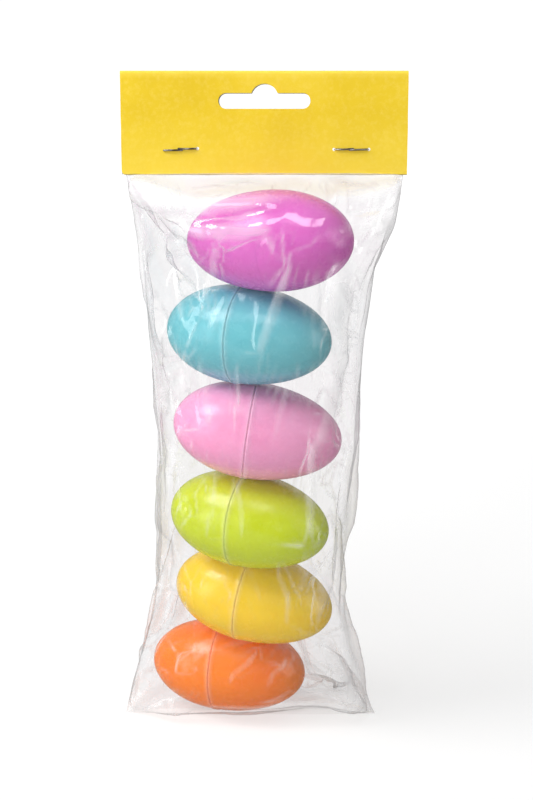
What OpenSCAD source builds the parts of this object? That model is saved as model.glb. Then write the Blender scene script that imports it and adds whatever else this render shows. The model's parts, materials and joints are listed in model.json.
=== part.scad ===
// Hang-pack of six hollow plastic eggs, stacked in a clear film bag under a folded and
// stapled header card. Millimetres, +Z up, the front of the pack faces -Y, and the flat
// bottom of the bag rests on z = 0 around the origin.

/* [Eggs] */
// Length of the blunt end, from the seam to its tip
blunt_len = 28.5; // [24:0.5:28.5]
// Length of the pointed end, from the seam to its tip
point_len = 33.5; // [28:0.5:33.5]
// Outside diameter at the seam
egg_d = 35.6; // [33:0.2:35.6]
// Wall thickness of both halves
wall = 0.9; // [0.7:0.1:1.1]
// Width of the groove between the closed halves
seam_gap = 0.3; // [0.2:0.05:0.5]
// How far the snap collar reaches into the cap
collar_len = 3.8; // [3:0.1:4.5]
// Thickness of the snap collar
collar_wall = 0.8; // [0.6:0.1:1]
// Radial running clearance between the collar and the cap
collar_play = 0.05; // [0.02:0.01:0.1]
// Diameter of the vent hole in the tip of the cap
vent_d = 1.2; // [0.8:0.1:2]

/* [Header card] */
// Width of the card
card_w = 100; // [99:1:104]
// Height from the lower edge to the fold
card_h = 36; // [35:0.5:40]
// Thickness of one flap of the card
card_t = 0.5; // [0.3:0.05:0.6]
// Lower edge above the resting surface
card_z = 218; // [218:1:222]
// How far the card leans back, in degrees
card_lean = 8; // [4:1:10]
// Length of the hanging slot
slot_len = 32; // [30:0.5:34]
// Height of the slot's straight wings
slot_wing = 5.4; // [5:0.1:6]
// Radius of the hump in the middle of the slot
slot_hump_r = 4.8; // [4.2:0.1:5]
// Centre of the hump above the middle of the wings
slot_hump_rise = 1.1; // [0.6:0.1:2]
// From the fold down to the middle of the wings
slot_drop = 10.3; // [9:0.1:12]

/* [Staples] */
// Width of a staple's crown
staple_w = 12; // [11.8:0.1:13]
// Diameter of the wire
staple_wire = 0.56; // [0.4:0.02:0.7]
// Length of each clinched leg
clinch_len = 5.5; // [4:0.1:5.5]
// From the fold down to the staples
staple_drop = 27; // [26:0.1:29]
// From the middle of the card to the left staple
staple_left_out = 29.4; // [28:0.2:34]
// From the middle of the card to the right staple
staple_right_out = 30.4; // [28:0.2:34]

/* [Film] */
// Thickness of one film panel, drawn thicker than real film
film_t = 0.4; // [0.3:0.05:0.5]
// Width of the flat side seams
seam_w = 1.5; // [1:0.1:2]
// Width of the mouth, stapled between the flaps
mouth_w = 98; // [96:1:98]
// Height of the mouth above the card's lower edge
mouth_h = 18; // [15:1:20]

/* [Hidden] */
egg_r = egg_d / 2;
bore_r = egg_r - wall;
collar_r = bore_r - collar_play;
bowl_r = collar_r - collar_wall;
card_y = 3.5;
leg_r = staple_wire / 2;
leg_play = 0.04;
flap_in = film_t;
flap_out = film_t + card_t;
mouth_top = card_z + mouth_h * cos(card_lean);
mouth_y = card_y + mouth_h * sin(card_lean);
arc_steps = 18;
mid_column = 7;
columns = 2 * mid_column;
$fn = 64;

// Each egg from the bottom up: its name, the middle of its seam, the heading of its pointed
// end about +Z, how far that end dips, and its colour.
EGGS = [
    ["orange", [-16.5, 11, 18.6], -18, -1, "darkorange"],
    ["yellow", [-6.5, 3.5, 53.6], -17, 7, "gold"],
    ["lime", [-8, -4, 88.9], -22, 2, "yellowgreen"],
    ["pink", [-5, -5, 124.9], -6, 7, "lightpink"],
    ["turquoise", [-8, -2.5, 161], -21, 0, "mediumturquoise"],
    ["orchid", [4, -7, 197], 157, 6, "orchid"],
];

// The bag from the floor up to its mouth, which is flat between the flaps of the card. Each
// station is its height, the left and right side seams as [x, y], and the y of the front and
// back panels halfway between them.
STATIONS = [
    [0.4, [-53, 8], [43, 4], -10, 25],
    [9, [-53, 15], [42, 2], -12, 33],
    [20, [-51.5, 17], [38, -1], -13, 34],
    [36, [-46.5, 16], [34, -5], -14, 33],
    [55, [-43, 12], [32.5, -8], -18, 27],
    [88, [-42.5, 5], [32, -14], -26, 19],
    [124, [-41, 3], [35.5, -9], -26, 17],
    [160, [-42.5, 8], [36, -14], -25, 19],
    [190, [-44, 8], [41, -16], -28, 17],
    [206, [-46, 6], [44.5, -12], -28, 15],
    [215, [-48, 4.5], [47.5, -1], -20, 8],
    [card_z, [-mouth_w / 2, card_y], [mouth_w / 2, card_y], card_y, card_y],
    [mouth_top, [-mouth_w / 2, mouth_y], [mouth_w / 2, mouth_y], mouth_y, mouth_y],
];

// ---------- eggs ----------

// Points of a quarter ellipse with radius r at height from and its tip at height len,
// starting at that height and ending where its radius is r_end.
function quarter(r, len, from, r_end) =
    let (t0 = asin(from / len), t1 = acos(r_end / r))
    [for (i = [0 : arc_steps]) let (t = t0 + (t1 - t0) * i / arc_steps) [r * cos(t), len * sin(t)]];

function reversed(points) = [for (i = [len(points) - 1 : -1 : 0]) points[i]];

function below(points) = [for (p = points) [p[0], -p[1]]];

// Lays a shape turned about +Z along an egg's own axis, pointed end first.
module on_egg(egg) {
    translate(egg[1]) rotate([0, 90 + egg[3], egg[2]]) children();
}

// The blunt half, with the collar that the cap snaps over.
module egg_cup(egg) {
    outside = below(quarter(egg_r, blunt_len, seam_gap / 2, 0));
    inside = below(quarter(bowl_r, blunt_len - wall, seam_gap / 2, 0));
    collar = [
        [bowl_r, collar_len],
        [collar_r - 0.2, collar_len],
        [collar_r, collar_len - 0.4],
        [collar_r, -seam_gap / 2],
    ];
    color(egg[4]) on_egg(egg) rotate_extrude() polygon(concat(collar, outside, reversed(inside)));
}

// The pointed half, a shell with a straight bore for the collar and a vent in its tip.
module egg_cap(egg) {
    shoulder = collar_len + 0.5;
    outside = quarter(egg_r, point_len, seam_gap / 2, vent_d / 2);
    inside = quarter(bore_r, point_len - wall, shoulder, vent_d / 2);
    mouth = [
        [bore_r, shoulder],
        [bore_r, seam_gap / 2],
    ];
    color(egg[4]) on_egg(egg) rotate_extrude() polygon(concat(mouth, outside, reversed(inside)));
}

// ---------- header card ----------

// The frame of the card: x across, y up from its lower edge, z out of its front face.
module on_card() {
    translate([0, card_y, card_z]) rotate([90 - card_lean, 0, 0]) children();
}

// The hanging slot: a rounded bar with a round hump over its middle.
module slot_outline() {
    wing_r = slot_wing / 2;
    half = slot_len / 2 - wing_r;
    square([2 * half, slot_wing], center = true);
    for (side = [-half, half]) translate([side, 0]) circle(wing_r);
    intersection() {
        translate([0, slot_hump_rise]) circle(slot_hump_r);
        translate([-slot_hump_r, 0]) square(2 * slot_hump_r);
    }
}

// Places a child at both legs of both staples.
module at_legs() {
    reach = staple_w / 2 - leg_r;
    for (x = [-staple_left_out, staple_right_out], leg = [-reach, reach])
        translate([x + leg, card_h - staple_drop, 0]) children();
}

module leg_holes() {
    at_legs() cylinder(h = 4, r = leg_r + leg_play, center = true);
}

// Two flaps joined by the fold along their upper edge.
module header_card() {
    color("gold") on_card() difference() {
        union() {
            for (z = [flap_in, -flap_out])
                translate([-card_w / 2, 0, z]) cube([card_w, card_h - flap_out, card_t]);
            translate([-card_w / 2, card_h - flap_out, 0]) intersection() {
                rotate([0, 90, 0]) difference() {
                    cylinder(h = card_w, r = flap_out);
                    translate([0, 0, -1]) cylinder(h = card_w + 2, r = flap_in);
                }
                translate([0, 0, -flap_out]) cube([card_w, flap_out, 2 * flap_out]);
            }
        }
        translate([0, card_h - slot_drop, -2]) linear_extrude(4) slot_outline();
        leg_holes();
    }
}

// ---------- staples ----------

// A bent wire: the crown lies on the back flap and the legs are clinched over the front.
module staple(x) {
    reach = staple_w / 2 - leg_r;
    face = flap_out + leg_r;
    color("silver") on_card() translate([x, card_h - staple_drop, 0]) {
        translate([-reach, 0, -face]) rotate([0, 90, 0]) cylinder(h = 2 * reach, r = leg_r);
        for (side = [-1, 1]) {
            translate([side * reach, 0, -face]) cylinder(h = 2 * face, r = leg_r);
            for (end = [-face, face]) translate([side * reach, 0, end]) sphere(leg_r);
            translate([side * reach, 0, face]) rotate([0, -side * 90, 0]) cylinder(h = clinch_len, r = leg_r);
        }
    }
}

module staple_left() {
    staple(-staple_left_out);
}

module staple_right() {
    staple(staple_right_out);
}

// ---------- film ----------

// How full the pouch is at u, from 0 at a side seam (u = -1 or 1) to 1 halfway.
function fullness(u) = pow(1 - pow(abs(u), 2.6), 0.62);

// Row of the inner face of a panel at one station, with a flat seam at each end.
// face is 3 for the front panel and 4 for the back one, as in STATIONS.
function inner_row(s, face) =
    let (
        left = s[1],
        right = s[2],
        belly = s[face] - (left[1] + right[1]) / 2,
        us = [for (i = [0 : columns]) -cos(180 * i / columns)]
    )
    concat(
        [[left[0] - seam_w, left[1], s[0]]],
        [for (u = us)
            let (p = left + (right - left) * (u + 1) / 2, bulge = abs(u) > 0.999 ? 0 : belly * fullness(u))
            [p[0], p[1] + bulge, s[0]]],
        [[right[0] + seam_w, right[1], s[0]]]
    );

// A closed solid between a grid of points and the same grid moved by shift.
module sheet(rows, shift) {
    n = len(rows);
    m = len(rows[0]);
    near = [for (row = rows) each row];
    far = [for (p = near) p + shift];
    points = concat(near, far);
    step = n * m;
    cell = function (i, j, a) a + i * m + j;
    skins = [for (i = [0 : n - 2], j = [0 : m - 2], face = [0, 1])
        let (
            a = cell(i, j, face * step),
            b = cell(i, j + 1, face * step),
            c = cell(i + 1, j + 1, face * step),
            d = cell(i + 1, j, face * step),
            flip = face == 1
        )
        each flip ? [[a, c, b], [a, d, c]] : [[a, b, c], [a, c, d]]];
    rim = concat(
        [for (j = [0 : m - 1]) j],
        [for (i = [1 : n - 1]) i * m + m - 1],
        [for (j = [m - 2 : -1 : 0]) (n - 1) * m + j],
        [for (i = [n - 2 : -1 : 1]) i * m]
    );
    count = len(rim);
    edges = [for (k = [0 : count - 1])
        let (a = rim[k], b = rim[(k + 1) % count])
        each [[a, a + step, b + step], [a, b + step, b]]];
    polyhedron(points, concat(skins, edges));
}

// One side of the bag, pierced by the staples. The rows of the back panel run downwards, so
// that its faces point outwards too.
module panel(face) {
    rows = [for (s = STATIONS) inner_row(s, face)];
    difference() {
        if (face == 3) sheet(rows, [0, -film_t, 0]);
        else sheet(reversed(rows), [0, film_t, 0]);
        on_card() leg_holes();
    }
}

module film_front() {
    color("lightcyan", 0.3) panel(3);
}

// The back panel, with the bottom of the bag folded forward under the stack.
module film_back() {
    foot = STATIONS[0];
    outline = concat(
        [for (p = inner_row(foot, 3)) [p[0], p[1] - film_t]],
        reversed([for (p = inner_row(foot, 4)) [p[0], p[1] + film_t]])
    );
    color("lightcyan", 0.3) {
        panel(4);
        linear_extrude(foot[0]) polygon(outline);
    }
}

// ---------- output ----------

header_card();
staple_left();
staple_right();
film_front();
film_back();
for (egg = EGGS) {
    egg_cup(egg);
    egg_cap(egg);
}
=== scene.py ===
"""Six plastic eggs in a clear film bag under a stapled header card: the looks, built around
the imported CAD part. Metres, +Z up, the front of the pack faces -Y."""

import json
import math
import random

import bmesh
import bpy
from mathutils import Matrix, Vector, geometry, noise
from mathutils.bvhtree import BVHTree


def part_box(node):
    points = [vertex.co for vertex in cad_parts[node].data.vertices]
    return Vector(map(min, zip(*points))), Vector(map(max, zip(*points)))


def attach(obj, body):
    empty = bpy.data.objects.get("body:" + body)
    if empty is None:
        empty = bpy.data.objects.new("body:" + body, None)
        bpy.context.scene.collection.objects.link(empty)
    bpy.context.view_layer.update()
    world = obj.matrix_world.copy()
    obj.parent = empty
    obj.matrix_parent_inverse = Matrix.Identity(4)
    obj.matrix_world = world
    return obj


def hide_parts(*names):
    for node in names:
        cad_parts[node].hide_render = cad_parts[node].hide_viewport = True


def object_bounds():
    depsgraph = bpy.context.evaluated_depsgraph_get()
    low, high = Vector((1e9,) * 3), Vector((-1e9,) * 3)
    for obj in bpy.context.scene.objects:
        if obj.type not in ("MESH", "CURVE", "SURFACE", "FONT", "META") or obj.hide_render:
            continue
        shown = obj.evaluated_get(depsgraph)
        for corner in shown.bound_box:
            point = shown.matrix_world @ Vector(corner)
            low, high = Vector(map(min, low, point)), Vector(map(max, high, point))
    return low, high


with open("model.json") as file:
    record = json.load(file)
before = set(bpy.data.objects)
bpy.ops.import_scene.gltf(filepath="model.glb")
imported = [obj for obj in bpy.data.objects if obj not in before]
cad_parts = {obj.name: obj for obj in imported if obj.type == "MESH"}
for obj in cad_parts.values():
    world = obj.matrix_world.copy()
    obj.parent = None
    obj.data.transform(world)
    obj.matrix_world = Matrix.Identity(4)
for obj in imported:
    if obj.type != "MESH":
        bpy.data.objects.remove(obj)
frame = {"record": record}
cad_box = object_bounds()
MM = 0.001

# ---------- driving dimensions ----------

EGG_NAMES = ["orange", "yellow", "lime", "pink", "turquoise", "orchid"]
EGG_R = 17.8 * MM
BLUNT_LEN = 28.5 * MM
POINT_LEN = 33.5 * MM
WALL = 0.9 * MM
COLLAR_LEN = 3.8 * MM
COLLAR_WALL = 0.8 * MM
COLLAR_PLAY = 0.05 * MM
# Half the groove between the closed halves, the radius of its lips, and how proud they stand
OPEN_SEAM = (0.12 * MM, 0.42 * MM, 0.24 * MM)
TIGHT_SEAM = (0.01 * MM, 0.02 * MM, 0)
VENT_R = 0.6 * MM

CARD_T = 0.5 * MM
FILM_CORE = 0.4 * MM
CARD_LEAN = math.radians(8)
STAPLE_R = 0.28 * MM
STAPLE_DROP = 27 * MM
STAPLE_CORNER = 0.55 * MM
STAPLE_CLINCH = 6.3 * MM
# Bent wire with its burrs looks thicker than the plain wire of the CAD
STAPLE_VISIBLE_R = 0.4 * MM
SLOT_LEN = 32 * MM
SLOT_WING = 5.4 * MM
SLOT_HUMP_R = 4.8 * MM
SLOT_HUMP_RISE = 1.1 * MM
SLOT_DROP = 10.3 * MM
# How far the back flap's slot is off the front one's, across and down
BACK_SLOT_SHIFT = 0.3 * MM


# ---------- small helpers ----------

def linear(r, g, b):
    """A display colour, 0 to 255 a channel, as a linear RGBA."""
    def one(c):
        c /= 255
        return c / 12.92 if c <= 0.04045 else ((c + 0.055) / 1.055) ** 2.4
    return (one(r), one(g), one(b), 1)


def smooth(a, b, x):
    """0 at a and 1 at b, in either order, and an eased step between them."""
    t = min(max((x - a) / (b - a), 0), 1)
    return t * t * (3 - 2 * t)


def new_object(name, mesh):
    obj = bpy.data.objects.new(name, mesh)
    bpy.context.scene.collection.objects.link(obj)
    return obj


def shade_smooth(mesh):
    for face in mesh.polygons:
        face.use_smooth = True


# ---------- materials ----------

class Nodes:
    """A material's node tree with short calls for the nodes that are used here."""

    def __init__(self, name):
        self.material = bpy.data.materials.new(name)
        self.material.use_nodes = True
        self.tree = self.material.node_tree
        self.tree.nodes.clear()
        self.output = self.add("ShaderNodeOutputMaterial")

    def add(self, kind, **settings):
        node = self.tree.nodes.new(kind)
        for key, value in settings.items():
            setattr(node, key, value)
        return node

    def link(self, source, target):
        self.tree.links.new(source, target)

    def place(self):
        return self.add("ShaderNodeTexCoord").outputs["Object"]

    def noise(self, scale, detail=3.0, rough=0.5, vector=None, distortion=0.0):
        node = self.add("ShaderNodeTexNoise")
        node.inputs["Scale"].default_value = scale
        node.inputs["Detail"].default_value = detail
        node.inputs["Roughness"].default_value = rough
        node.inputs["Distortion"].default_value = distortion
        self.link(vector or self.place(), node.inputs["Vector"])
        return node.outputs["Fac"]

    def ramp(self, source, stops):
        node = self.add("ShaderNodeValToRGB")
        ramp = node.color_ramp
        while len(ramp.elements) < len(stops):
            ramp.elements.new(0.5)
        for element, (where, colour) in zip(ramp.elements, stops):
            element.position = where
            element.color = colour
        self.link(source, node.inputs["Fac"])
        return node.outputs["Color"]

    def grey(self, source, low, high, start=0.0, end=1.0):
        node = self.add("ShaderNodeMapRange")
        node.inputs["From Min"].default_value = start
        node.inputs["From Max"].default_value = end
        node.inputs["To Min"].default_value = low
        node.inputs["To Max"].default_value = high
        self.link(source, node.inputs["Value"])
        return node.outputs["Result"]

    def maths(self, operation, *values):
        node = self.add("ShaderNodeMath", operation=operation)
        for socket, value in zip(node.inputs, values):
            if isinstance(value, (int, float)):
                socket.default_value = value
            else:
                self.link(value, socket)
        return node.outputs[0]

    def bump(self, height, strength, distance, normal=None):
        node = self.add("ShaderNodeBump")
        node.inputs["Strength"].default_value = strength
        node.inputs["Distance"].default_value = distance
        self.link(height, node.inputs["Height"])
        if normal:
            self.link(normal, node.inputs["Normal"])
        return node.outputs["Normal"]

    def stretched(self, x, y, z):
        node = self.add("ShaderNodeMapping")
        node.inputs["Scale"].default_value = (x, y, z)
        self.link(self.place(), node.inputs["Vector"])
        return node.outputs["Vector"]


def egg_plastic(name, deep, pale):
    """Thin satin polyethylene, a little translucent, with faint moulding ripple and scuffs."""
    n = Nodes(name)
    shader = n.add("ShaderNodeBsdfPrincipled")
    n.link(shader.outputs["BSDF"], n.output.inputs["Surface"])
    cloud = n.noise(55, 4, 0.55)
    # The seam's lips are mixed towards white, a painted highlight
    lip = n.add("ShaderNodeAttribute", attribute_name="lip")
    body = n.add("ShaderNodeMix", data_type="RGBA")
    n.link(n.maths("MULTIPLY", lip.outputs["Fac"], 0.15), body.inputs["Factor"])
    n.link(n.ramp(cloud, [(0.3, deep), (0.7, pale)]), body.inputs[6])
    body.inputs[7].default_value = (1, 1, 1, 1)
    n.link(body.outputs[2], shader.inputs["Base Color"])
    scuff = n.noise(300, 4, 0.6)
    n.link(n.grey(scuff, 0.23, 0.31, 0.35, 0.7), shader.inputs["Roughness"])
    shader.inputs["IOR"].default_value = 1.5
    shader.inputs["Subsurface Weight"].default_value = 0.25
    shader.inputs["Subsurface Radius"].default_value = (1, 0.8, 0.7)
    shader.inputs["Subsurface Scale"].default_value = 1.5 * MM
    n.link(n.bump(n.noise(130, 2, 0.4), 0.1, 0.3 * MM), shader.inputs["Normal"])
    return n.material


# ---------- eggs ----------

def arc(cx, cz, r, start, end, steps):
    """Points of an arc, angles in degrees from +r towards +z."""
    points = []
    for i in range(steps + 1):
        t = math.radians(start + (end - start) * i / steps)
        points.append((cx + r * math.cos(t), cz + r * math.sin(t)))
    return points


def egg_curve(radius, length, start, stop_r, steps=44):
    """A quarter ellipse from height start to where the radius is stop_r."""
    t0 = math.asin(start / length)
    t1 = math.acos(stop_r / radius)
    turns = [t0 + (t1 - t0) * i / steps for i in range(steps + 1)]
    return [(radius * math.cos(t), length * math.sin(t)) for t in turns]


def cup_profile(half_gap, lip, bead):
    """The blunt half's section, from the collar's inner edge round the outside to the inner tip.
    A thin bead stands proud of the egg along the seam, and the gap has a shallow floor."""
    bowl = EGG_R - WALL - COLLAR_PLAY - COLLAR_WALL
    collar = bowl + COLLAR_WALL
    rim = arc(EGG_R + bead - lip, -half_gap - lip, lip, 90, -20, 6)
    outside = [(r, -z) for r, z in egg_curve(EGG_R, BLUNT_LEN, half_gap + 2 * lip + 4 * bead, 0)]
    inside = [(r, -z) for r, z in egg_curve(bowl, BLUNT_LEN - WALL, half_gap, 0)]
    edge = arc(bowl + COLLAR_WALL / 2, COLLAR_LEN - COLLAR_WALL / 2, COLLAR_WALL / 2, 180, 0, 8)
    floor = EGG_R - 0.05 * MM
    step = [(collar, 0.6 * half_gap), (floor, 0.6 * half_gap), (floor, -half_gap)]
    return edge + step + rim + outside + inside[::-1]


def cap_profile(half_gap, lip, bead):
    """The pointed half's section, a shell with a straight bore and a vent hole in its tip."""
    bore = EGG_R - WALL
    rim = arc(EGG_R + bead - lip, half_gap + lip, lip, -90, 20, 6)
    outside = egg_curve(EGG_R, POINT_LEN, half_gap + 2 * lip + 4 * bead, VENT_R)
    inside = egg_curve(bore, POINT_LEN - WALL, COLLAR_LEN + 0.5 * MM, VENT_R)
    return [(bore, half_gap)] + rim + outside + inside[::-1] + [(bore, COLLAR_LEN + 0.3 * MM)]


def lathe(name, profile, centre, axis, turns=128):
    """Turns a closed section about an axis through centre. A point on the axis is one vertex."""
    mesh = bpy.data.meshes.new(name)
    bm = bmesh.new()
    turn = Vector(axis).to_track_quat("Z", "Y").to_matrix().to_4x4()
    place = Matrix.Translation(centre) @ turn
    rings = []
    for r, z in profile:
        if r < 1e-7:
            rings.append([bm.verts.new(place @ Vector((0, 0, z)))] * turns)
            continue
        ring = []
        for k in range(turns):
            a = 2 * math.pi * k / turns
            ring.append(bm.verts.new(place @ Vector((r * math.cos(a), r * math.sin(a), z))))
        rings.append(ring)
    for low, high in zip(rings, rings[1:] + rings[:1]):
        for k in range(turns):
            corners = [low[k], low[(k + 1) % turns], high[(k + 1) % turns], high[k]]
            corners = list(dict.fromkeys(corners))
            if len(corners) > 2:
                bm.faces.new(corners)
    bmesh.ops.recalc_face_normals(bm, faces=bm.faces)
    bm.to_mesh(mesh)
    bm.free()
    shade_smooth(mesh)
    return new_object(name, mesh)


EGG_COLOURS = {
    "orange": (linear(255, 124, 4), linear(255, 136, 14)),
    "yellow": (linear(255, 206, 12), linear(255, 214, 32)),
    "lime": (linear(198, 214, 8), linear(206, 222, 20)),
    "pink": (linear(250, 158, 202), linear(252, 171, 211)),
    "turquoise": (linear(100, 185, 196), linear(112, 196, 205)),
    "orchid": (linear(218, 98, 192), linear(226, 111, 202)),
}


def mark_lip_highlight(shell, centre, axis):
    """Marks the thin lip along the seam, which is painted paler as a highlight."""
    lip = shell.data.attributes.new("lip", "FLOAT", "POINT")
    for item, v in zip(lip.data, shell.data.vertices):
        rise = abs((v.co - centre).dot(axis))
        reach = ((v.co - centre) - axis * (v.co - centre).dot(axis)).length
        item.value = smooth(1.0 * MM, 0.45 * MM, rise) * (reach > EGG_R - 0.2 * MM)


def build_eggs():
    joints = {j["name"]: j for j in frame["record"]["behaviour"]["joints"]}
    for name in EGG_NAMES:
        roll = joints[f"{name}_egg_roll"]
        centre, axis = Vector(roll["pos_m"]), Vector(roll["axis"])
        plastic = egg_plastic(f"{name}_plastic", *EGG_COLOURS[name])
        seam = TIGHT_SEAM if name == "orchid" else OPEN_SEAM
        for half, profile in (("cup", cup_profile(*seam)), ("cap", cap_profile(*seam))):
            node = f"{name}_egg_{half}"
            shell = lathe(f"{name}_{half}_shell", profile, centre, axis)
            if seam == OPEN_SEAM:
                mark_lip_highlight(shell, centre, axis)
            shell.data.materials.append(plastic)
            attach(shell, node)
            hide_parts(node)


# ---------- header card ----------

def card_frame():
    """The card's own frame: x across, y up from its lower edge, z out of its front face."""
    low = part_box("header_card")[0]
    half = FILM_CORE + CARD_T
    base = Vector((0, low[1] + half * math.cos(CARD_LEAN), low[2] + half * math.sin(CARD_LEAN)))
    return Matrix.Translation(base) @ Matrix.Rotation(math.pi / 2 - CARD_LEAN, 4, "X")


def card_size():
    low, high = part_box("header_card")
    rise = (high[2] - low[2] - 2 * (FILM_CORE + CARD_T) * math.sin(CARD_LEAN)) / math.cos(CARD_LEAN)
    return high[0] - low[0], rise


def slot_outline(height):
    """The hanging slot, anticlockwise: a bar with round ends and a round hump over its middle."""
    middle = height - SLOT_DROP
    r = SLOT_WING / 2
    half = SLOT_LEN / 2 - r
    start = math.degrees(math.asin((r - SLOT_HUMP_RISE) / SLOT_HUMP_R))
    right = arc(half, middle, r, -90, 90, 14)
    hump = arc(0, middle + SLOT_HUMP_RISE, SLOT_HUMP_R, start, 180 - start, 22)
    left = arc(-half, middle, r, 90, 270, 14)
    return right + hump + left


def slot_cutter(height, bottom, top, shift):
    mesh = bpy.data.meshes.new("slot_cutter")
    bm = bmesh.new()
    outline = slot_outline(height)
    low = [bm.verts.new((x + shift, y - shift, bottom)) for x, y in outline]
    high = [bm.verts.new((x + shift, y - shift, top)) for x, y in outline]
    bm.faces.new(low[::-1])
    bm.faces.new(high)
    for k in range(len(low)):
        j = (k + 1) % len(low)
        bm.faces.new([low[k], low[j], high[j], high[k]])
    bm.to_mesh(mesh)
    bm.free()
    return new_object("slot_cutter", mesh)


def applied(obj):
    """The object's mesh with its modifiers applied."""
    graph = bpy.context.evaluated_depsgraph_get()
    mesh = bpy.data.meshes.new_from_object(obj.evaluated_get(graph))
    obj.modifiers.clear()
    obj.data = mesh
    return mesh


def card_path(height, mid):
    """The folded sheet's middle line as (y, z): up the front flap, over the fold, down the back."""
    top = height - FILM_CORE - CARD_T
    rows = 38
    front = [(top * i / rows, mid) for i in range(rows + 1)]
    turns = [math.radians(t) for t in range(20, 180, 20)]
    fold = [(top + mid * math.sin(t), mid * math.cos(t)) for t in turns]
    back = [(y, -z) for y, z in reversed(front)]
    return front + fold + back


def build_card():
    width, height = card_size()
    mid = FILM_CORE + CARD_T / 2
    path = card_path(height, mid)
    columns = 104
    mesh = bpy.data.meshes.new("header_sheet")
    bm = bmesh.new()
    across = [width * (i / columns - 0.5) for i in range(columns + 1)]
    grid = [[bm.verts.new((x, y, z)) for x in across] for y, z in path]
    for low, high in zip(grid, grid[1:]):
        for i in range(columns):
            bm.faces.new([low[i], low[i + 1], high[i + 1], high[i]])
    bmesh.ops.recalc_face_normals(bm, faces=bm.faces)
    bm.to_mesh(mesh)
    bm.free()
    card = new_object("header_sheet", mesh)
    thick = card.modifiers.new("thick", "SOLIDIFY")
    thick.thickness = CARD_T
    thick.offset = 0
    applied(card)
    for bottom, top, shift in ((0, 4 * MM, 0), (-4 * MM, 0, BACK_SLOT_SHIFT)):
        cutter = slot_cutter(height, bottom, top, shift)
        cut = card.modifiers.new("slot", "BOOLEAN")
        cut.operation = "DIFFERENCE"
        cut.solver = "EXACT"
        cut.object = cutter
        applied(card)
        bpy.data.objects.remove(cutter)
    shape_card(card, width, height)
    card.data.materials.clear()
    card.data.materials.append(card_print())
    card.data.materials.append(card_core())
    paint_card_faces(card, height)
    card.data.transform(card_frame())
    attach(card, "pack")
    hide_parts("header_card")


def shape_card(card, width, height):
    """Hand-cut waviness of the edges, a slight bow, and one blunted corner."""
    for v in card.data.vertices:
        x, y, z = v.co
        side = 1 if z > 0 else -1
        far = noise.noise(Vector((x * 28, y * 34, side * 3.1)))
        v.co.z += 0.22 * MM * far * smooth(height, height * 0.55, y) * (1.0 if abs(z) > 0.2 * MM else 0.4)
        low_edge = smooth(2.5 * MM, 0, y)
        v.co.y += 0.16 * MM * low_edge * noise.noise(Vector((x * 130, side * 5.7, 0.3)))
        rim = smooth(width / 2 - 1.5 * MM, width / 2, abs(x))
        v.co.x += 0.10 * MM * rim * noise.noise(Vector((x * 4, y * 160, side)))
        corner = Vector((x + width / 2, y, 0)).length
        if side > 0 and corner < 1.1 * MM:
            push = (1.1 * MM - corner) * 0.45
            v.co.x += push
            v.co.y += push * 0.8


def paint_card_faces(card, height):
    """Cut edges and the inside of the fold show the pale core of the board."""
    inner = FILM_CORE + 0.1 * MM
    top = height - FILM_CORE - CARD_T
    for face in card.data.polygons:
        n, c = face.normal, face.center
        outward = n.z * c.z > 0 or c.y > top
        flat = abs(n.x) < 0.7 and (abs(n.z) > 0.5 or c.y > top - 0.1 * MM)
        outside = Vector((0, max(c.y - top, 0), c.z)).length > inner
        face.material_index = 0 if outward and flat and outside else 1


def staple_tears():
    """Where a staple leg has torn the printed face and bared the white core."""
    _, height = card_size()
    spots = []
    for node, sides, rise in (("staple_left", (1,), 0.3), ("staple_right", (-1, 1), 0)):
        low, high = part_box(node)
        for side in sides:
            x = (high[0] + low[0]) / 2 + side * ((high[0] - low[0]) / 2 + 0.1 * MM)
            spots.append(card_frame() @ Vector((x, height - STAPLE_DROP + rise * MM, FILM_CORE + CARD_T)))
    return spots


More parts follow.
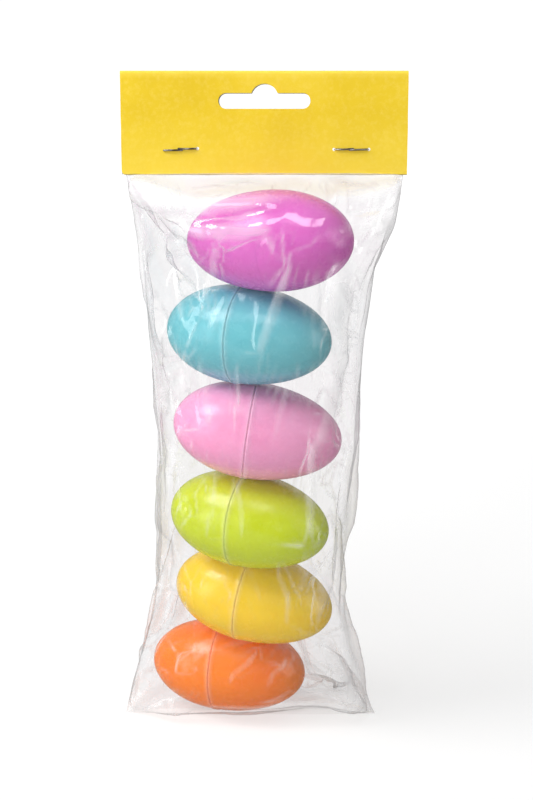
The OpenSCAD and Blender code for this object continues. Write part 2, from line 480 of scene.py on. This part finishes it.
def card_print():
    """Yellow printed board: a mottled coat over paper grain, paler towards the foot with a painted
    highlight along the fold, a painted shadow as a dark line along the lower edge, and white torn spots
    at the staple legs."""
    n = Nodes("card_print")
    shader = n.add("ShaderNodeBsdfPrincipled")
    n.link(shader.outputs["BSDF"], n.output.inputs["Surface"])
    cloud = n.noise(34, 5, 0.62)
    yellows = [(0.30, linear(224, 189, 26)), (0.52, linear(230, 196, 32)), (0.78, linear(238, 206, 56))]
    coat = n.ramp(cloud, yellows)
    fleck = n.noise(520, 3, 0.7)
    mix = n.add("ShaderNodeMix", data_type="RGBA")
    n.link(n.grey(fleck, 0.0, 0.16, 0.45, 0.75), mix.inputs["Factor"])
    n.link(coat, mix.inputs[6])
    mix.inputs[7].default_value = linear(255, 236, 140)
    low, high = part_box("header_card")[0][2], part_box("header_card")[1][2]
    rise = n.add("ShaderNodeSeparateXYZ")
    n.link(n.place(), rise.inputs[0])
    wavy_shadow_line = n.maths("MULTIPLY_ADD", n.noise(160, 3, 0.5), 0.5 * MM, rise.outputs["Z"])
    # A painted shadow: a dark olive line along the card's lower edge, where the card shades the film
    # below it
    edge = n.add("ShaderNodeMix", data_type="RGBA")
    n.link(n.grey(wavy_shadow_line, 0.85, 0.0, low + 0.55 * MM, low + 0.95 * MM), edge.inputs["Factor"])
    # Paler towards the foot, and a painted highlight along the fold at the top
    pale_foot_and_fold_highlight = n.add("ShaderNodeMix", data_type="RGBA")
    foot = n.grey(rise.outputs["Z"], 0.3, 0.0, low, low + 22 * MM)
    fold = n.grey(rise.outputs["Z"], 0.0, 0.4, high - 2.6 * MM, high - 0.4 * MM)
    n.link(n.maths("MAXIMUM", foot, fold), pale_foot_and_fold_highlight.inputs["Factor"])
    n.link(mix.outputs[2], pale_foot_and_fold_highlight.inputs[6])
    pale_foot_and_fold_highlight.inputs[7].default_value = linear(255, 228, 96)
    n.link(pale_foot_and_fold_highlight.outputs[2], edge.inputs[6])
    # The colour of the painted shadow line at the lower edge
    edge.inputs[7].default_value = linear(112, 104, 66)
    torn = 0.0
    for spot in staple_tears():
        far = n.add("ShaderNodeVectorMath", operation="DISTANCE")
        n.link(n.place(), far.inputs[0])
        far.inputs[1].default_value = spot
        torn = n.maths("MAXIMUM", torn, n.grey(far.outputs["Value"], 1.0, 0.0, 0.42 * MM, 0.62 * MM))
    holes = n.add("ShaderNodeMix", data_type="RGBA")
    n.link(torn, holes.inputs["Factor"])
    n.link(edge.outputs[2], holes.inputs[6])
    holes.inputs[7].default_value = (1, 1, 1, 1)
    n.link(holes.outputs[2], shader.inputs["Base Color"])
    n.link(n.grey(n.noise(240, 4, 0.6), 0.52, 0.72), shader.inputs["Roughness"])
    shader.inputs["Specular IOR Level"].default_value = 0.35
    grain = n.bump(n.noise(1500, 4, 0.7), 0.22, 0.05 * MM)
    wash = n.bump(n.noise(85, 3, 0.5), 0.18, 0.25 * MM, grain)
    n.link(wash, shader.inputs["Normal"])
    return n.material


def card_core():
    """The board's uncoated grey-white core and back."""
    n = Nodes("card_core")
    shader = n.add("ShaderNodeBsdfPrincipled")
    n.link(shader.outputs["BSDF"], n.output.inputs["Surface"])
    fibre = n.noise(900, 5, 0.7, n.stretched(1, 1, 5))
    board = n.ramp(fibre, [(0.3, linear(150, 143, 124)), (0.7, linear(214, 208, 190))])
    n.link(board, shader.inputs["Base Color"])
    n.link(n.grey(fibre, 0.8, 0.95), shader.inputs["Roughness"])
    n.link(n.bump(fibre, 0.4, 0.06 * MM), shader.inputs["Normal"])
    return n.material


# ---------- staples ----------

def staple_steel():
    """Drawn wire with a dull zinc coat, scraped bright along its length."""
    n = Nodes("staple_steel")
    shader = n.add("ShaderNodeBsdfPrincipled")
    n.link(shader.outputs["BSDF"], n.output.inputs["Surface"])
    scrape = n.noise(1400, 4, 0.65, n.stretched(0.3, 1, 1))
    greys = [(0.38, linear(52, 48, 46)), (0.5, linear(120, 116, 112)), (0.66, linear(212, 212, 216))]
    n.link(n.ramp(scrape, greys), shader.inputs["Base Color"])
    shader.inputs["Metallic"].default_value = 0.9
    n.link(n.grey(scrape, 0.5, 0.24, 0.3, 0.7), shader.inputs["Roughness"])
    n.link(n.bump(scrape, 0.5, 0.04 * MM), shader.inputs["Normal"])
    return n.material


def tube(name, points, radius, sides=12, flat=0.8):
    """A swept wire along points, a little flattened, with domed ends."""
    mesh = bpy.data.meshes.new(name)
    bm = bmesh.new()
    rings = []
    up = Vector((0, 1, 0))
    last = len(points) - 1
    # Each ring is the point it belongs to, its shift along the wire and its share of the radius
    plan = [(0, -0.7, 0.62), (0, -0.25, 0.92)]
    plan += [(k, 0, 1) for k in range(len(points))]
    plan += [(last, 0.25, 0.92), (last, 0.7, 0.62)]
    for k, along, share in plan:
        ahead = (Vector(points[min(k + 1, last)]) - Vector(points[max(k - 1, 0)])).normalized()
        side = ahead.cross(up).normalized()
        p = Vector(points[k]) + ahead * along * radius
        ring = []
        for i in range(sides):
            a = 2 * math.pi * i / sides
            ring.append(bm.verts.new(p + (side * math.cos(a) + up * math.sin(a) * flat) * radius * share))
        rings.append(ring)
    for a, b in zip(rings, rings[1:]):
        for i in range(sides):
            bm.faces.new([a[i], a[(i + 1) % sides], b[(i + 1) % sides], b[i]])
    bm.faces.new(rings[0][::-1])
    bm.faces.new(rings[-1])
    bmesh.ops.recalc_face_normals(bm, faces=bm.faces)
    bm.to_mesh(mesh)
    bm.free()
    shade_smooth(mesh)
    return new_object(name, mesh)


def staple_path(reach, face, sag):
    """From one clinched tip, through the card, along the crown at the back and out again. The
    two clinched legs pass each other by a little in the middle."""
    corner = STAPLE_CORNER

    def bent(side, angle, level, turn):
        """A point of a rounded corner, at an angle from its start."""
        t = math.radians(angle)
        return (side * (reach - corner + corner * turn(t)), 0, level(t))

    def leg(side):
        path = []
        for t in (1.0, 0.85, 0.7, 0.55, 0.4, 0.25, 0.12):
            lift = face + 0.18 * MM * math.sin(math.pi * t)
            path.append((side * (reach - STAPLE_CLINCH * t), 2 * sag * t * t * side, lift))
        for angle in (0, 30, 60, 90):
            path.append(bent(side, angle, lambda t: face - corner + corner * math.cos(t), math.sin))
        for angle in (0, 30, 60, 90):
            path.append(bent(side, angle, lambda t: -face + corner - corner * math.sin(t), math.cos))
        return path
    return leg(-1) + leg(1)[::-1]


def build_staples():
    _, height = card_size()
    place = card_frame()
    steel = staple_steel()
    face = FILM_CORE + CARD_T + STAPLE_R
    for node, tilt, sag in (("staple_left", 3.5, 0.15 * MM), ("staple_right", 0, -0.1 * MM)):
        low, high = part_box(node)
        reach = (high[0] - low[0]) / 2 - STAPLE_R
        middle = ((high[0] + low[0]) / 2, height - STAPLE_DROP, 0)
        wire = tube(f"{node}_wire", staple_path(reach, face, sag), STAPLE_VISIBLE_R)
        turn = Matrix.Rotation(math.radians(tilt), 4, "Z")
        wire.data.transform(place @ Matrix.Translation(middle) @ turn)
        wire.data.materials.append(steel)
        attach(wire, "pack")
        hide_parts(node)


# ---------- film bag ----------

# The bag as it hangs before it is draped, in millimetres: height, the left and right side
# seams as (x, y), and the y of the front and back panels halfway between them.
STATIONS = [
    (0.3, (-55, 5), (44, 4), 3.5, 8),
    (3, (-54.5, 8), (42.5, 4), -4, 20),
    (9, (-53, 13), (40.5, 3), -10, 31),
    (20, (-49.5, 17), (38, 0), -12, 34),
    (36, (-45, 15), (32.5, -4), -13, 33),
    (55, (-41, 11), (28, -7), -18, 27),
    (88, (-40, 6), (29, -13), -26, 19),
    (124, (-39.5, 3), (32.5, -9), -26, 17),
    (160, (-41.5, 7), (34.5, -13), -25, 19),
    (190, (-43.5, 7), (38.5, -15), -28, 17),
    (206, (-46, 5.5), (45.5, -9), -27, 14),
    (214, (-48, 4.5), (48, -1), -18, 8),
    (218, (-49, 3.5), (49, 3.5), 3.3, 3.7),
    (235.8, (-49, 6), (49, 6), 5.9, 6.1),
]
# Width of the empty bag laid flat, in millimetres
FLAT_WIDTH = 98
# The film's mesh: millimetres between rows, and columns across a panel
ROW_STEP = 1.6
COLUMNS = 64
# The facets of the creased film, in millimetres: width, height and depth of the large and the
# small ones, a factor on all depths, and the share of it over the middle of the eggs
CREASES = ((12, 19, 2.2), (5, 8, 1.1))
CREASE_DEPTH = 0.85
CREASE_CALM = 0.13
# Height of the strip that the creases are drawn on, a little more than the bag's
CREASED_HEIGHT = 250
# The film is creased right across above the first height and below the second
CREASED_TOP = 191
CREASED_FOOT = 14
# Bend of the film, in radians per millimetre, where it starts to turn milky and where it is milky
CREASE_SOFT = 0.08
CREASE_SHARP = 0.5
# The cloth is simulated this many times its real size, for this many frames
SIM_SCALE = 20
SIM_FRAMES = 34
# How far an egg slides open, in millimetres
TRAVEL = 4.2


def station(z):
    """The bag's section at height z: left x, y, right x, y, front y and back y."""
    k = max(i for i, s in enumerate(STATIONS[:-1]) if s[0] <= z + 1e-6)
    a, b = STATIONS[k], STATIONS[k + 1]
    t = (z - a[0]) / (b[0] - a[0])
    flat_a = (*a[1], *a[2], a[3], a[4])
    flat_b = (*b[1], *b[2], b[3], b[4])
    return [p + (q - p) * t for p, q in zip(flat_a, flat_b)]


def fullness(u):
    """How much of its full depth the bag has at a place across it from -1 to 1."""
    return max(0, 1 - abs(u) ** 2.6) ** 0.62


def film_rows(step):
    """Heights of the film's rows, closer together at the bottom of the bag."""
    rows, z = [], STATIONS[0][0]
    while z < STATIONS[-1][0] - step * 0.6:
        rows.append(z)
        z += step * (0.45 if z < 9 else 1)
    return rows + [STATIONS[-1][0]]


def film_columns(count):
    """Places across a panel from -1 to 1, closer together towards the side seams."""
    return [0.5 * (2 * i / count - 1) - 0.5 * math.cos(math.pi * i / count) for i in range(count + 1)]


def crease_map(width, height, cell, tall, depth, draw):
    """Height over a strip of film that is creased into flat facets: scattered points at random
    heights, joined by triangles."""
    seeds, heights = [], []
    for j in range(-1, int(height / tall) + 3):
        for i in range(-1, int(width / cell) + 3):
            x = (i + 0.5 * (j % 2) + draw.uniform(-0.38, 0.38)) * cell - width / 2
            seeds.append(Vector((x, (j + draw.uniform(-0.38, 0.38)) * tall)))
            heights.append(draw.uniform(-depth, depth))
    points, _, faces, origin, _, _ = geometry.delaunay_2d_cdt(seeds, [], [], 0, 1e-6)
    tree = BVHTree.FromPolygons([(*p, heights[o[0]]) for p, o in zip(points, origin)], faces)
    return lambda x, y: tree.find_nearest(Vector((x, y, 0)))[0].z


class FilmGrid:
    """The two panels as one pouch mesh, with shared side seams, in simulation units."""

    def __init__(self, rows, columns, scale):
        self.rows, self.columns, self.scale = rows, columns, scale
        self.index = {}
        self.points = []
        last = len(columns) - 1
        for j, z in enumerate(rows):
            xl, yl, xr, yr, front, back = station(z)
            for side, y in (("front", front), ("back", back)):
                for i, u in enumerate(columns):
                    if side == "back" and i in (0, last):
                        self.index[side, j, i] = self.index["front", j, i]
                        continue
                    s = (u + 1) / 2
                    belly = (y - (yl + yr) / 2) * fullness(u)
                    self.index[side, j, i] = len(self.points)
                    spot = Vector((xl + (xr - xl) * s, yl + (yr - yl) * s + belly, z))
                    self.points.append(spot * scale)

    def faces(self):
        out = []
        for j in range(len(self.rows) - 1):
            for i in range(len(self.columns) - 1):
                for side in ("front", "back"):
                    a = [self.index[side, j, i], self.index[side, j, i + 1],
                         self.index[side, j + 1, i + 1], self.index[side, j + 1, i]]
                    out.append(a if side == "front" else a[::-1])
        return out

    def flat(self):
        """Where each point lies on the empty bag. Its side seams are FLAT_WIDTH apart, and further
        where the drawn panel is wider than that. Its height follows from the drawn sections.
        The middle of a panel fits the eggs, and the spare width at the sides crumples."""
        spots = [None] * len(self.points)
        half = FLAT_WIDTH / 2
        height = 0
        last = len(self.columns) - 1
        middle = last // 2
        for j in range(len(self.rows)):
            if j:
                steps = [(self.at(side, j, i) - self.at(side, j - 1, i)).length / self.scale
                         for side in ("front", "back") for i in range(0, last + 1, 3)]
                height += sorted(steps)[int(len(steps) * 0.7)]
            for side, out in (("front", -1), ("back", 1)):
                across = [0]
                for i in range(1, last + 1):
                    gap = (self.at(side, j, i) - self.at(side, j, i - 1)).length
                    across.append(across[-1] + gap / self.scale)
                centre = across[middle]
                for i in range(last + 1):
                    room = across[last] - centre if i > middle else centre
                    real = across[i] - centre
                    share = smooth(0.45, 1.0, abs(real) / room)
                    x = real + math.copysign(abs(half - room) * share, real)
                    depth = 0 if i in (0, last) else 0.3 * out
                    buckle = noise.noise_vector(Vector((x, height, 3 * out)) * 0.085)
                    buckle *= 0.3 + 0.8 * share
                    spot = Vector((x + buckle.x, depth, height + buckle.z))
                    spots[self.index[side, j, i]] = spot * self.scale
        return spots

    def at(self, side, j, i):
        return self.points[self.index[side, j, i]]


def film_pins(grid):
    """How firmly each point is held: the mouth and the bottom fully, the side seams here and there."""
    pins = {}
    last = len(grid.columns) - 1
    for (side, j, i), v in grid.index.items():
        z = grid.rows[j]
        if z >= 217.5 or j == 0:
            pins[v] = 1.0
        elif i in (0, last):
            pins[v] = 1.0 if j % 14 == 0 else 0.25
    return pins


def egg_block(name, scale):
    """What the film drapes over: an egg with room for its moving half to slide open."""
    joints = {j["name"]: j for j in frame["record"]["behaviour"]["joints"]}
    roll, slide = joints[f"{name}_egg_roll"], joints[f"{name}_egg_open"]
    axis = Vector(roll["axis"])
    forward = Vector(slide["axis"]).dot(axis) > 0
    ahead = TRAVEL if forward else 0
    behind = 0 if forward else TRAVEL
    r = EGG_R / MM
    pointed = [(q, z + ahead) for q, z in egg_curve(r, POINT_LEN / MM, 0, 0, 18)]
    blunt = [(q, -z - behind) for q, z in egg_curve(r, BLUNT_LEN / MM, 0, 0, 18)]
    profile = pointed[::-1] + blunt
    block = lathe(f"{name}_block", profile, Vector((0, 0, 0)), (0, 0, 1), 48)
    turn = axis.to_track_quat("Z", "Y").to_matrix().to_4x4()
    block.matrix_world = Matrix.Scale(scale, 4) @ Matrix.Translation(Vector(roll["pos_m"]) / MM) @ turn
    block.modifiers.new("solid", "COLLISION")
    block.collision.thickness_outer = 0.35 * scale
    block.collision.cloth_friction = 3
    return block


def drape_film(film, grid, frames):
    """Draws the film in over the eggs by cloth simulation, with the empty bag as rest shape."""
    film.shape_key_add(name="Basis")
    flat = film.shape_key_add(name="flat")
    for v, spot in enumerate(grid.flat()):
        flat.data[v].co = spot
    flat.value = 0
    group = film.vertex_groups.new(name="pin")
    for v, weight in film_pins(grid).items():
        group.add([v], weight, "REPLACE")
    blocks = [egg_block(name, grid.scale) for name in EGG_NAMES]
    cloth = film.modifiers.new("film", "CLOTH")
    s = cloth.settings
    s.quality = 7
    s.mass = 0.15
    s.air_damping = 3
    s.tension_stiffness = 80
    s.compression_stiffness = 60
    s.shear_stiffness = 40
    s.bending_model = "ANGULAR"
    s.bending_stiffness = 2
    s.tension_damping = 15
    s.compression_damping = 15
    s.shear_damping = 10
    s.vertex_group_mass = "pin"
    s.pin_stiffness = 2
    s.rest_shape_key = flat
    s.use_pressure = True
    s.uniform_pressure_force = -1.2
    s.effector_weights.gravity = 0.1
    c = cloth.collision_settings
    c.use_collision = True
    c.collision_quality = 3
    c.distance_min = 0.3 * grid.scale
    cloth.point_cache.frame_start = 1
    cloth.point_cache.frame_end = frames
    for f in range(1, frames + 1):
        bpy.context.scene.frame_set(f)
    graph = bpy.context.evaluated_depsgraph_get()
    mesh = bpy.data.meshes.new_from_object(film.evaluated_get(graph))
    for block in blocks:
        bpy.data.objects.remove(block)
    bpy.context.scene.frame_set(1)
    return mesh


def film_plastic():
    """Clear glossy film: nearly invisible face on, mirror-like edge on, milky along its creases."""
    n = Nodes("film_plastic")
    clear = n.add("ShaderNodeBsdfTransparent")
    clear.inputs["Color"].default_value = (0.982, 0.976, 0.979, 1)
    gloss = n.add("ShaderNodeBsdfGlossy")
    gloss.inputs["Roughness"].default_value = 0.1
    haze = n.add("ShaderNodeBsdfDiffuse")
    haze.inputs["Color"].default_value = (0.93, 0.93, 0.93, 1)
    fine = n.bump(n.noise(520, 3, 0.55, n.stretched(1, 1, 0.3)), 0.3, 0.1 * MM)
    crinkle = n.bump(n.noise(120, 2, 0.5, n.stretched(1, 1, 0.5), 0.6), 0.35, 0.5 * MM, fine)
    n.link(crinkle, gloss.inputs["Normal"])
    weight = n.add("ShaderNodeLayerWeight")
    weight.inputs["Blend"].default_value = 0.5
    n.link(crinkle, weight.inputs["Normal"])
    edge = n.maths("POWER", weight.outputs["Facing"], 4.0)
    mirror = n.maths("MULTIPLY_ADD", edge, 0.7, 0.075)
    skin = n.add("ShaderNodeMixShader")
    n.link(mirror, skin.inputs[0])
    n.link(clear.outputs[0], skin.inputs[1])
    n.link(gloss.outputs[0], skin.inputs[2])
    crease = n.add("ShaderNodeAttribute", attribute_name="crease")
    veil = n.add("ShaderNodeMixShader")
    n.link(n.grey(crease.outputs["Fac"], 0.004, 0.3), veil.inputs[0])
    n.link(skin.outputs[0], veil.inputs[1])
    n.link(haze.outputs[0], veil.inputs[2])
    n.link(veil.outputs[0], n.output.inputs["Surface"])
    return n.material


def label_sheet(mesh, grid):
    """Stores each point's place on its panel: across from -1 to 1, height, and 1 for the back."""
    place = mesh.attributes.new("sheet", "FLOAT_VECTOR", "POINT")
    for (side, j, i), v in grid.index.items():
        place.data[v].vector = (grid.columns[i], grid.rows[j], side == "back")


def crumple(mesh):
    """Creases the film outwards into flat facets, deepest beside the eggs and at their tips."""
    draw = random.Random(23)
    maps = [[crease_map(FLAT_WIDTH, CREASED_HEIGHT, *size, draw) for size in CREASES]
            for _ in range(2)]
    places = [item.vector.copy() for item in mesh.attributes["sheet"].data]
    normals = [v.normal.copy() for v in mesh.vertices]
    mouth = STATIONS[-2][0]
    for v, place, normal in zip(mesh.vertices, places, normals):
        u, z, back = place
        share = CREASE_CALM + (1 - CREASE_CALM) * smooth(0.28, 0.8, abs(u - 0.06))
        share += (0.8 - share) * smooth(CREASED_TOP, CREASED_TOP + 12, z) * (share < 0.8)
        share += (0.5 - share) * smooth(CREASED_FOOT, 4, z) * (share < 0.5)
        share *= smooth(mouth + 1, mouth - 5, z) * smooth(0.3, 5, z) * smooth(1.0, 0.93, abs(u))
        charts = zip(CREASES, maps[back > 0.5])
        lift = sum(size[2] + chart(u * FLAT_WIDTH / 2, z) for size, chart in charts)
        v.co += normal * (CREASE_DEPTH * share * lift * MM)
    mesh.attributes.remove(mesh.attributes["sheet"])


def mark_creases(mesh):
    """Stores how sharply the film bends at each point, from 0 to 1."""
    bm = bmesh.new()
    bm.from_mesh(mesh)
    bm.normal_update()
    sharp = []
    for v in bm.verts:
        bends = [e.calc_face_angle(0) / e.calc_length() for e in v.link_edges]
        sharp.append(max(bends, default=0))
    bm.free()
    spread = mesh.attributes.new("crease", "FLOAT", "POINT")
    for item, value in zip(spread.data, sharp):
        item.value = smooth(CREASE_SOFT, CREASE_SHARP, value * MM)


def build_film():
    """The bag: draped over the eggs, refined and creased."""
    scale = SIM_SCALE * MM
    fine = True
    rows = film_rows(ROW_STEP if fine else 2 * ROW_STEP)
    grid = FilmGrid(rows, film_columns(COLUMNS if fine else COLUMNS // 2), scale)
    mesh = bpy.data.meshes.new("film_bag")
    mesh.from_pydata(grid.points, [], grid.faces())
    mesh.update()
    film = new_object("film_bag", mesh)
    if fine:
        film.data = drape_film(film, grid, SIM_FRAMES)
        film.modifiers.clear()
        film.vertex_groups.clear()
    film.data.transform(Matrix.Scale(MM / scale, 4))
    label_sheet(film.data, grid)
    film.modifiers.new("finer", "SUBSURF").levels = 1
    applied(film)
    crumple(film.data)
    mark_creases(film.data)
    shade_smooth(film.data)
    film.data.materials.clear()
    film.data.materials.append(film_plastic())
    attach(film, "pack")
    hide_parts("film_front", "film_back")


# ---------- camera, lights and floor ----------

LENS = 77.4
# The room's brightness at the horizon and overhead, and of the white backdrop in reflections
WORLD_LOW = 0.2
WORLD_HIGH = 0.42
BACKDROP = 0.9
# The floor's own glow near the pack and far from it, as the lens sees it and as the pack does,
# and how much of the floor is lost in reflections
FLOOR_ALBEDO = 0.36
FLOOR_GLOW_NEAR = 0.64
FLOOR_GLOW_FAR = 0.90
FLOOR_GLOW_UNSEEN = 0.3
FLOOR_GLOSS_LOSS = 0.3
# Lamp powers in watts
KEY = 10
TOP_FRONT = 3
LEFT_FILL = 9
FILL = 1.2
LEFT_GLINT = 4
RIGHT_GLINT = 8.8
AIM = Vector((0.75, 0, 134.7)) * MM
CAMERA_DISTANCE = 630 * MM
CAMERA_PITCH = math.radians(20.9)


def add_camera():
    data = bpy.data.cameras.new("camera")
    data.lens = LENS
    data.sensor_width = 36
    camera = new_object("camera", data)
    back = Vector((0, -math.cos(CAMERA_PITCH), math.sin(CAMERA_PITCH)))
    camera.location = AIM + back * CAMERA_DISTANCE
    camera.rotation_euler = (math.pi / 2 - CAMERA_PITCH, 0, 0)
    bpy.context.scene.camera = camera


def add_area(name, place, aim, size, power, mirrored=True, lit=True):
    """A rectangular lamp, which may be left out of reflections, or shine in reflections only."""
    data = bpy.data.lights.new(name, "AREA")
    data.shape = "RECTANGLE"
    data.size, data.size_y = size
    data.energy = power
    lamp = new_object(name, data)
    lamp.visible_glossy = mirrored
    lamp.visible_diffuse = lit
    lamp.location = place
    lamp.rotation_euler = (Vector(aim) - Vector(place)).to_track_quat("-Z", "Y").to_euler()


def add_world():
    """Soft room light from above, darker towards the horizon. Reflections also find a white
    backdrop behind the pack, and the lens sees plain white."""
    world = bpy.data.worlds.new("studio")
    bpy.context.scene.world = world
    world.use_nodes = True
    tree = world.node_tree
    n = tree.nodes
    where = n.new("ShaderNodeTexCoord")
    split = n.new("ShaderNodeSeparateXYZ")
    tree.links.new(where.outputs["Generated"], split.inputs[0])
    rise = n.new("ShaderNodeMapRange")
    rise.inputs["From Min"].default_value = 0.0
    rise.inputs["From Max"].default_value = 0.9
    rise.inputs["To Min"].default_value = WORLD_LOW
    rise.inputs["To Max"].default_value = WORLD_HIGH
    tree.links.new(split.outputs["Z"], rise.inputs["Value"])
    behind = n.new("ShaderNodeMapRange")
    behind.inputs["From Min"].default_value = -0.25
    behind.inputs["From Max"].default_value = 0.35
    tree.links.new(split.outputs["Y"], behind.inputs["Value"])
    path = n.new("ShaderNodeLightPath")
    mirrored = n.new("ShaderNodeMath")
    mirrored.operation = "MULTIPLY"
    tree.links.new(behind.outputs["Result"], mirrored.inputs[0])
    tree.links.new(path.outputs["Is Glossy Ray"], mirrored.inputs[1])
    room = n.new("ShaderNodeMix")
    tree.links.new(mirrored.outputs[0], room.inputs["Factor"])
    tree.links.new(rise.outputs["Result"], room.inputs[2])
    room.inputs[3].default_value = BACKDROP
    seen = n.new("ShaderNodeMix")
    tree.links.new(path.outputs["Is Camera Ray"], seen.inputs["Factor"])
    tree.links.new(room.outputs[0], seen.inputs[2])
    seen.inputs[3].default_value = 1.0
    tree.links.new(seen.outputs[0], n["Background"].inputs["Strength"])
    n["Background"].inputs["Color"].default_value = (1, 1, 1, 1)


def add_floor():
    """A pale paper floor, lit from within a little so that it stays white far from the lamps."""
    mesh = bpy.data.meshes.new("floor")
    bm = bmesh.new()
    bmesh.ops.create_grid(bm, x_segments=4, y_segments=4, size=6)
    bm.to_mesh(mesh)
    bm.free()
    floor = new_object("floor", mesh)
    floor.location.z = cad_box[0][2]
    n = Nodes("floor_paper")
    diffuse = n.add("ShaderNodeBsdfDiffuse")
    diffuse.inputs["Color"].default_value = (FLOOR_ALBEDO, FLOOR_ALBEDO, FLOOR_ALBEDO, 1)
    glow = n.add("ShaderNodeEmission")
    far = n.add("ShaderNodeVectorMath", operation="LENGTH")
    n.link(n.place(), far.inputs[0])
    level = n.grey(far.outputs["Value"], FLOOR_GLOW_NEAR, FLOOR_GLOW_FAR, 0.1, 0.9)
    path = n.add("ShaderNodeLightPath")
    seen = n.add("ShaderNodeMix")
    n.link(path.outputs["Is Camera Ray"], seen.inputs["Factor"])
    seen.inputs[2].default_value = FLOOR_GLOW_UNSEEN
    n.link(level, seen.inputs[3])
    n.link(seen.outputs[0], glow.inputs["Strength"])
    both = n.add("ShaderNodeAddShader")
    n.link(diffuse.outputs[0], both.inputs[0])
    n.link(glow.outputs[0], both.inputs[1])
    dim = n.add("ShaderNodeMixShader")
    n.link(n.maths("MULTIPLY", path.outputs["Is Glossy Ray"], FLOOR_GLOSS_LOSS), dim.inputs[0])
    n.link(both.outputs[0], dim.inputs[1])
    n.link(dim.outputs[0], n.output.inputs["Surface"])
    floor.data.materials.append(n.material)


def add_lights():
    """A key softbox high on the left, a second over the front, two broad fills, and a panel at
    each side that only shows as glints."""
    middle = (0, 0, 0.12)
    add_area("key", (-0.80, -0.25, 1.05), middle, (0.5, 0.5), KEY)
    add_area("top_front", (-0.13, -0.55, 1.3), middle, (0.4, 0.4), TOP_FRONT)
    add_area("left_fill", (-0.95, -1.0, 0.5), middle, (0.9, 0.8), LEFT_FILL, False)
    add_area("fill", (0.25, -1.3, 0.6), middle, (1.0, 0.7), FILL)
    add_area("right_panel", (1.2, -0.5, 0.4), middle, (0.9, 1.2), RIGHT_GLINT, True, False)
    add_area("left_panel", (-1.2, -0.6, 0.3), middle, (0.4, 0.9), LEFT_GLINT, True, False)


bpy.context.scene.view_settings.view_transform = "Standard"
add_camera()
add_world()
add_floor()
add_lights()
build_eggs()
build_card()
build_staples()
build_film()
